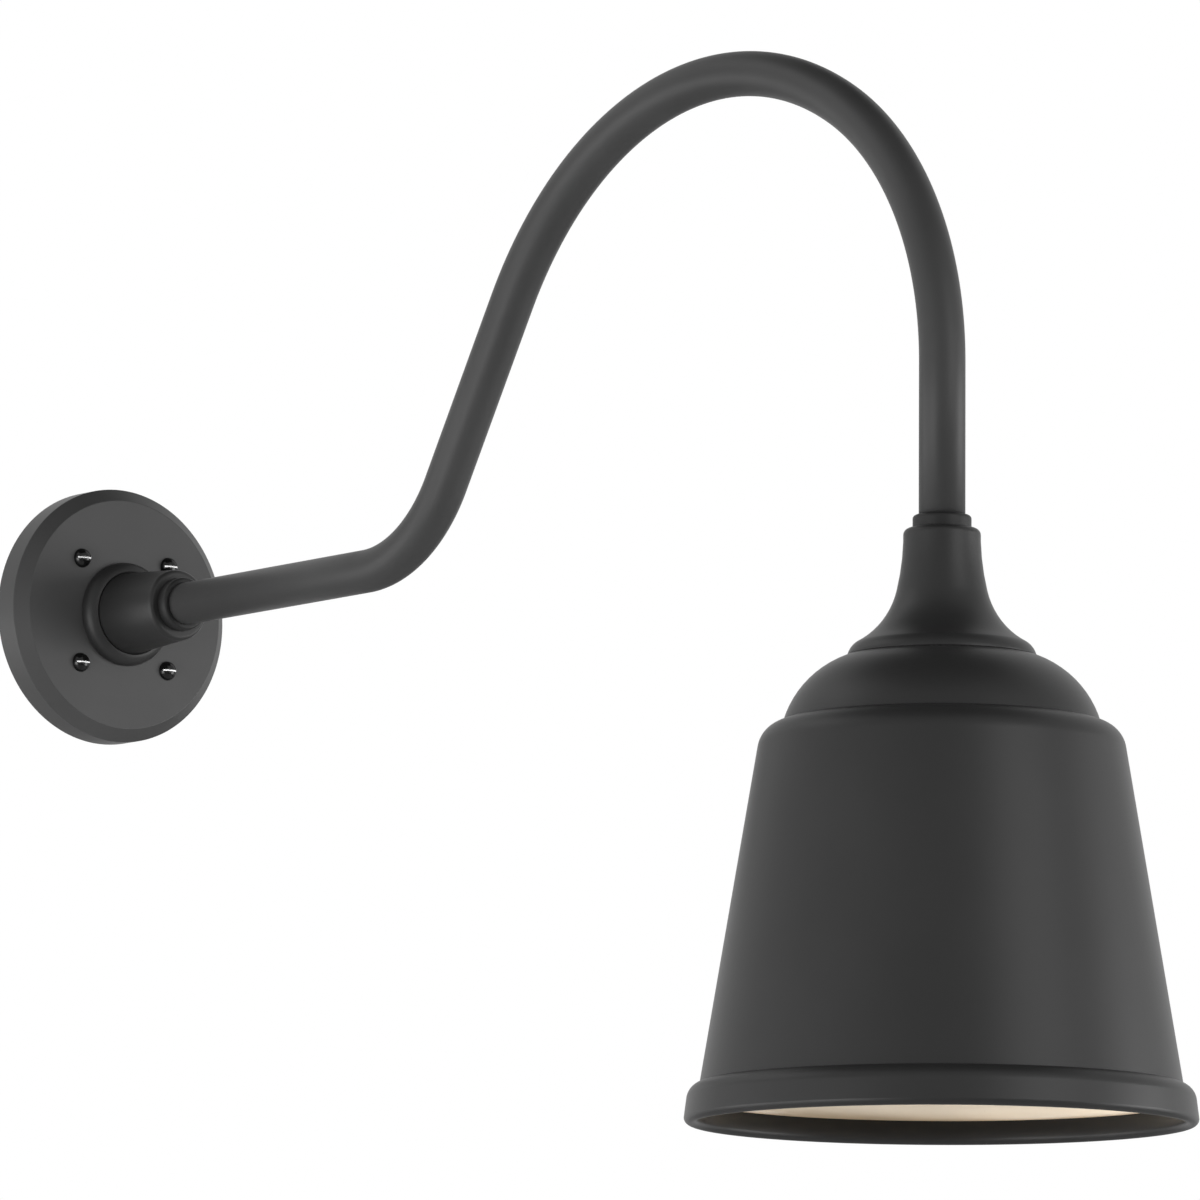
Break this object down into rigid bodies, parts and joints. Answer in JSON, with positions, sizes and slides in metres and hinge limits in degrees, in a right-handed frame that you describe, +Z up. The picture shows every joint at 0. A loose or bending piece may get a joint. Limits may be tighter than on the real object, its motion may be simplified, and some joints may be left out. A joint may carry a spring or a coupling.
{
  "type": "barn light",
  "caption": "Outdoor wall light: round wall plate and hub, bent gooseneck tube arm, bell neck, and a flared metal shade with a domed top and hemmed rim over a screw-in lamp.",
  "frame": {"origin": "centre of the wall plate's back, on the wall", "axes": "+Z up, +Y into the wall; the arm lies in the plane x = 0 and reaches out along -Y"},
  "size_m": [0.2734, 0.9577, 0.6074],
  "materials": {
    "plate_coat": "satin black powder coat on cast aluminium",
    "hub_coat": "satin black powder coat on cast aluminium",
    "collar_coat": "satin black powder coat on turned steel",
    "arm_coat": "satin black powder coat on bent steel tube",
    "neck_coat": "satin black powder coat on cast aluminium",
    "shade_coat": "satin black powder coat outside, cream white enamel inside, on spun aluminium",
    "screw_black": "gloss black enamel on slotted steel screws",
    "zinc_steel": "bright zinc plating",
    "seal_rubber": "matt black rubber",
    "gasket_foam": "matt black foam rubber",
    "brass": "plain pressed brass",
    "holder_porcelain": "glazed white porcelain",
    "cable_jacket": "black cable jacket",
    "live_insulation": "black lead insulation",
    "neutral_insulation": "white lead insulation",
    "earth_insulation": "green lead insulation",
    "connector_plastic": "orange moulded plastic",
    "lamp_thread_metal": "bright pressed metal",
    "lamp_contact_metal": "tinned contact",
    "lamp_insulator_black": "black glassy insulator",
    "lamp_housing_white": "white moulded plastic",
    "lamp_board_white": "white coated board",
    "emitter_yellow": "yellow phosphor",
    "opal_globe": "opal plastic"
  },
  "bodies": {
    "wall_mount": {"wall_plate": "plate_coat", "wall_gasket": "gasket_foam", "plate_screws": "screw_black", "hub": "hub_coat", "hub_set_screw": "zinc_steel", "hub_washer": "zinc_steel", "hub_locknut": "zinc_steel", "wall_collar": "collar_coat", "wall_seal": "seal_rubber", "hub_grommet": "seal_rubber", "live_lead": "live_insulation", "neutral_lead": "neutral_insulation", "earth_lead": "earth_insulation", "earth_screw": "brass", "wire_connectors": "connector_plastic"},
    "arm": {"arm_tube": "arm_coat", "arm_cable": "cable_jacket"},
    "head": {"drop_collar": "collar_coat", "drop_seal": "seal_rubber", "neck": "neck_coat", "neck_set_screw": "zinc_steel", "neck_grommet": "seal_rubber", "shade_gasket": "gasket_foam", "shade": "shade_coat", "shade_screws": "zinc_steel", "lampholder": "holder_porcelain", "lampholder_screws": "zinc_steel", "screw_shell": "brass", "centre_contact": "brass", "terminal_screws": "brass", "lamp_live_lead": "live_insulation", "lamp_neutral_lead": "neutral_insulation"},
    "lamp_tip": {"lamp_contact": "lamp_contact_metal"},
    "lamp": {"lamp_insulator": "lamp_insulator_black", "lamp_base": "lamp_thread_metal", "lamp_housing": "lamp_housing_white", "led_board": "lamp_board_white", "led_emitters": "emitter_yellow", "lamp_diffuser": "opal_globe"}
  },
  "joints": [
    {"name": "arm_swivel", "type": "hinge", "parent": "wall_mount", "child": "arm", "pos_m": [0, 0, 0], "axis": [0, 1, 0], "range_deg": [-90, 90]},
    {"name": "head_swivel", "type": "hinge", "parent": "arm", "child": "head", "pos_m": [0, -0.791, 0], "axis": [0, 0, 1], "range_deg": [-170, 170]},
    {"name": "lamp_lift", "type": "slide", "parent": "head", "child": "lamp_tip", "axis": [0, 0, 1], "range_m": [-0.01996, 0]},
    {"name": "lamp_turn", "type": "hinge", "parent": "lamp_tip", "child": "lamp", "pos_m": [0, -0.791, 0], "axis": [0, 0, 1], "range_deg": [-1980, 0]}
  ],
  "couplings": [
    {"joint": "lamp_turn", "follows": "lamp_lift", "rad_per_m": 1730.9}
  ]
}
